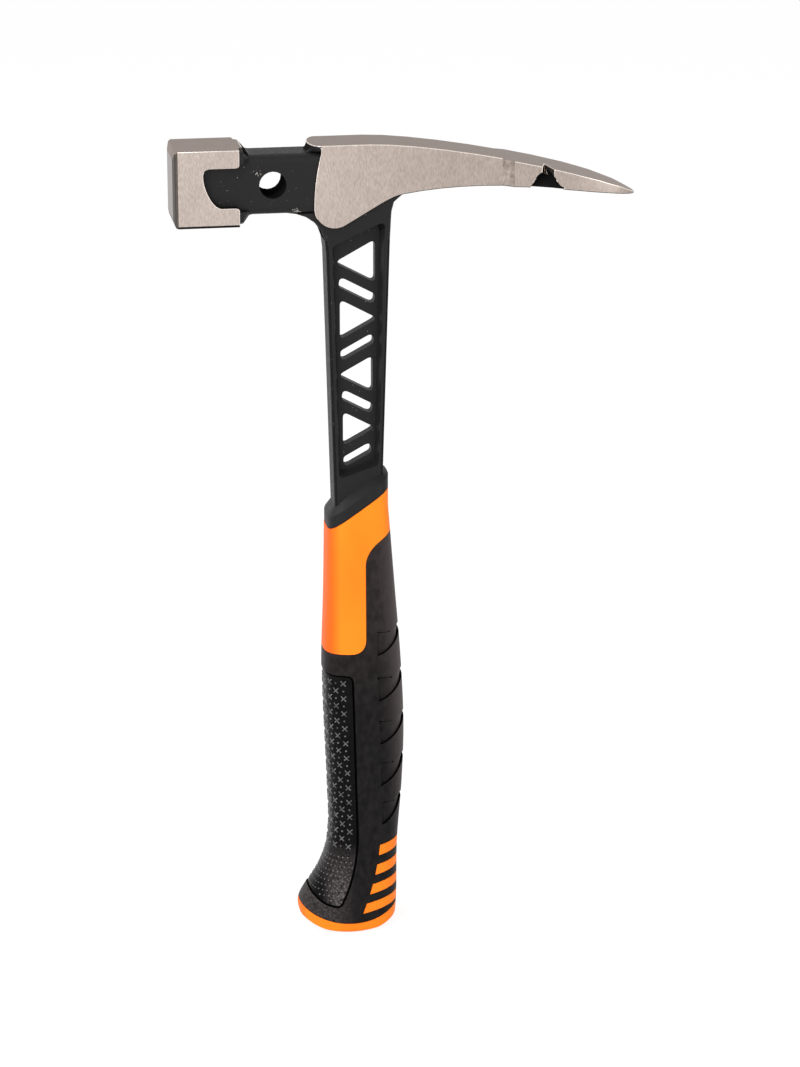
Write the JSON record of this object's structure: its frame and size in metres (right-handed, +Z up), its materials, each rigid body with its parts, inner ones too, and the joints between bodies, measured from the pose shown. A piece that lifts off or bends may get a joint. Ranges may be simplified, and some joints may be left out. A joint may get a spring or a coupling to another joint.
{
  "type": "bricklayer hammer",
  "caption": "One-piece forged hammer with a square striking face, a curved flared pick with a side nail puller, a pierced I-section shaft and a contoured two-colour grip.",
  "frame": {"origin": "middle of the bounding box's base, under the butt", "axes": "+Z up the shaft from the butt to the head, +X towards the pick's tip, -Y the side with the nail puller"},
  "size_m": [0.19, 0.0292, 0.3403],
  "materials": {
    "forged_steel": "black paint, satin, with ground and brushed striking block and pick",
    "orange_plastic": "satin moulded",
    "black_rubber": "matt, moulded texture",
    "orange_cap": "satin moulded"
  },
  "bodies": {
    "root": {"forged_hammer": "forged_steel", "grip_core": "orange_plastic", "grip_overmould": "black_rubber", "butt_cap": "orange_cap"}
  },
  "joints": []
}
